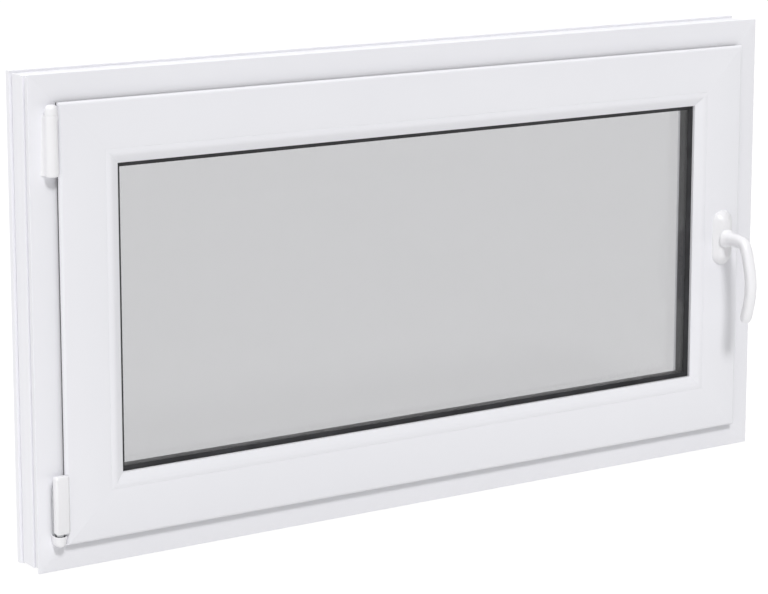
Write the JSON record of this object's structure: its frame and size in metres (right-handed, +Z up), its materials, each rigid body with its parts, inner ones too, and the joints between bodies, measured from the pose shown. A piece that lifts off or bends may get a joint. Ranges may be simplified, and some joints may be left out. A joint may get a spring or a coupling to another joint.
{
  "type": "tilt and turn window",
  "caption": "Single-sash tilt and turn window: welded white plastic frame, hinged sash with double glazing, stay arm, corner hinge and lever handle.",
  "frame": {"origin": "middle of the sill's flat underside, half way through the frame's depth", "axes": "+X to the right as seen from the room, +Y from the room to the outside, +Z up"},
  "size_m": [1.1, 0.1447, 0.6],
  "materials": {
    "white_profile": "satin white extruded plastic",
    "white_bead": "satin white extruded plastic",
    "glass": "clear float glass",
    "spacer": "dark grey spacer bar",
    "black_gasket": "black sealing rubber",
    "grey_gasket": "dark grey sealing rubber",
    "white_cap": "moulded white plastic",
    "hinge_metal": "white coated steel",
    "zinc_steel": "zinc plated steel",
    "white_handle": "white powder coat"
  },
  "bodies": {
    "frame": {"frame_sill": "white_profile", "frame_left_jamb": "white_profile", "frame_head": "white_profile", "frame_right_jamb": "white_profile", "frame_gasket": "grey_gasket", "corner_bearing": "hinge_metal", "stay_bearing": "zinc_steel", "stay_bearing_cover": "white_cap", "striker_upper": "zinc_steel", "striker_lower": "zinc_steel", "striker_head": "zinc_steel", "striker_sill": "zinc_steel", "drain_hoods": "white_cap"},
    "hinge_pivot": {"pivot_knuckle": "zinc_steel"},
    "sash": {"sash_bottom_rail": "white_profile", "sash_left_stile": "white_profile", "sash_top_rail": "white_profile", "sash_right_stile": "white_profile", "bead_bottom": "white_bead", "bead_left": "white_bead", "bead_top": "white_bead", "bead_right": "white_bead", "inner_pane": "glass", "outer_pane": "glass", "pane_spacer": "spacer", "glazing_packers": "white_cap", "bead_gasket": "black_gasket", "outer_gasket": "black_gasket", "overlap_gasket": "grey_gasket", "hinge_band": "zinc_steel", "hinge_cover": "white_cap", "locking_strip_top": "zinc_steel", "locking_strip_right": "zinc_steel", "locking_strip_bottom": "zinc_steel", "handle_rosette": "white_handle"},
    "stay": {"stay_arm": "zinc_steel", "stay_arm_cap": "white_cap"},
    "handle": {"handle_lever": "white_handle"}
  },
  "joints": [
    {"name": "sash_turn", "type": "hinge", "parent": "frame", "child": "hinge_pivot", "pos_m": [-0.526, -0.04, 0.04], "axis": [0, 0, -1], "range_deg": [0, 90]},
    {"name": "sash_tilt", "type": "hinge", "parent": "hinge_pivot", "child": "sash", "pos_m": [-0.526, -0.04, 0.04], "axis": [-1, 0, 0], "range_deg": [-8, 0]},
    {"name": "stay_swing", "type": "hinge", "parent": "hinge_pivot", "child": "stay", "pos_m": [-0.526, -0.04, 0.558], "axis": [0, 0, 1], "range_deg": [-17.5, 0]},
    {"name": "handle_turn", "type": "hinge", "parent": "sash", "child": "handle", "pos_m": [0.487, -0.0415, 0.303], "axis": [0, -1, 0], "range_deg": [-180, 0]}
  ],
  "couplings": [
    {"joint": "stay_swing", "follows": "sash_tilt", "ratio": 2.1525}
  ]
}
